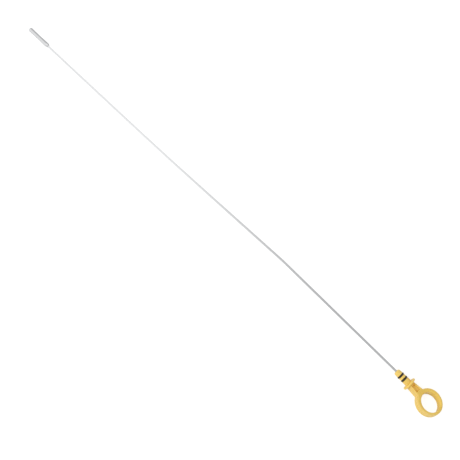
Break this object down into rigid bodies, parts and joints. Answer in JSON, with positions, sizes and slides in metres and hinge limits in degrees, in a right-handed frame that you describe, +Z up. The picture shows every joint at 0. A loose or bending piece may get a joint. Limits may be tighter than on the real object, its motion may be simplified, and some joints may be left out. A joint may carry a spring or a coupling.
{
  "type": "engine oil dipstick",
  "caption": "Oil dipstick: a bent steel wire with a coined gauge blade, moulded into a plastic plug with O-rings, a stop flange and a finger ring.",
  "frame": {"origin": "bottom centre of the box round the dipstick as it lies on a flat surface", "axes": "+X along the length, from the gauge blade towards the finger ring; +Z up from the surface that it lies on"},
  "size_m": [0.6582, 0.0344, 0.0189],
  "materials": {
    "moulded_plastic": "satin moulded golden yellow",
    "seal_rubber": "smooth black",
    "steel_wire": "bright drawn"
  },
  "bodies": {
    "root": {"handle": "moulded_plastic", "front_o_ring": "seal_rubber", "rear_o_ring": "seal_rubber", "rod": "steel_wire"}
  },
  "joints": []
}
